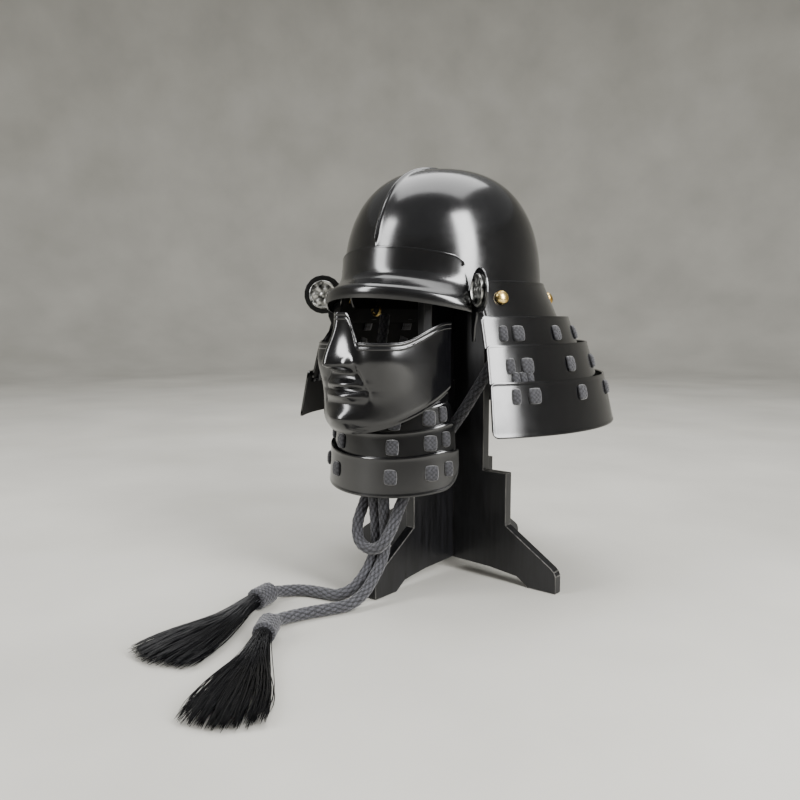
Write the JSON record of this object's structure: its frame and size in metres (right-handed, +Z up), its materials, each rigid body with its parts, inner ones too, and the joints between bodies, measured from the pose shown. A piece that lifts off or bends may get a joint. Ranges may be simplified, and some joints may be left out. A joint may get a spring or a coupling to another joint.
{
  "type": "kabuto samurai helmet with half mask on a cross-board stand",
  "caption": "Black lacquered kabuto with visor, laced neck and throat lames, half mask, chin cord and tassels, held up by a plain stand of two crossing boards.",
  "frame": {"origin": "on the surface under the middle of the object's box, the free cords and tassels left out", "axes": "+Z up, the face looks along -Y, +X is the wearer's left; the helmet, mask and stand are mirror images across the plane X = 0"},
  "size_m": [0.368, 0.6566, 0.4826],
  "materials": {
    "black_lacquer": "deep black gloss lacquer over shaped plates, polished smooth",
    "lacing_braid": "charcoal flat braid, matt, with a visible plait",
    "cord_braid": "dark grey round braided cord, soft sheen",
    "polished_brass": "polished domed brass",
    "crest_metal": "polished silver metal darkened in its hollows",
    "tassel_thread": "glossy black silk-like thread in hanging locks",
    "painted_board": "black satin paint on board, rubbed lighter along the edges"
  },
  "bodies": {
    "root": {"bowl": "black_lacquer", "brow_plate": "black_lacquer", "neck_plate": "black_lacquer", "neck_lame_1": "black_lacquer", "neck_lame_2": "black_lacquer", "neck_lame_3": "black_lacquer", "turnback_left": "black_lacquer", "turnback_right": "black_lacquer", "face_mask": "black_lacquer", "throat_lame_1": "black_lacquer", "throat_lame_2": "black_lacquer", "throat_lame_3": "black_lacquer", "neck_lacing_front_left": "lacing_braid", "neck_lacing_front_right": "lacing_braid", "neck_lacing_temple_left": "lacing_braid", "neck_lacing_temple_right": "lacing_braid", "neck_lacing_side_left": "lacing_braid", "neck_lacing_side_right": "lacing_braid", "neck_lacing_nape_left": "lacing_braid", "neck_lacing_nape_right": "lacing_braid", "neck_lacing_back_left": "lacing_braid", "neck_lacing_back_right": "lacing_braid", "neck_lacing_rear_left": "lacing_braid", "neck_lacing_rear_right": "lacing_braid", "neck_lacing_middle": "lacing_braid", "throat_lacing_inner_left": "lacing_braid", "throat_lacing_inner_right": "lacing_braid", "throat_lacing_outer_left": "lacing_braid", "throat_lacing_outer_right": "lacing_braid", "throat_lacing_end_left": "lacing_braid", "throat_lacing_end_right": "lacing_braid", "chin_cord": "cord_braid", "front_cord_left": "cord_braid", "front_cord_right": "cord_braid", "stud_1": "polished_brass", "stud_2": "polished_brass", "stud_3": "polished_brass", "stud_4": "polished_brass", "cord_ring_left": "polished_brass", "cord_ring_right": "polished_brass", "crest_left": "crest_metal", "crest_right": "crest_metal", "tassel_left": "tassel_thread", "tassel_right": "tassel_thread", "stand_side_board": "painted_board", "stand_front_board": "painted_board"}
  },
  "joints": []
}
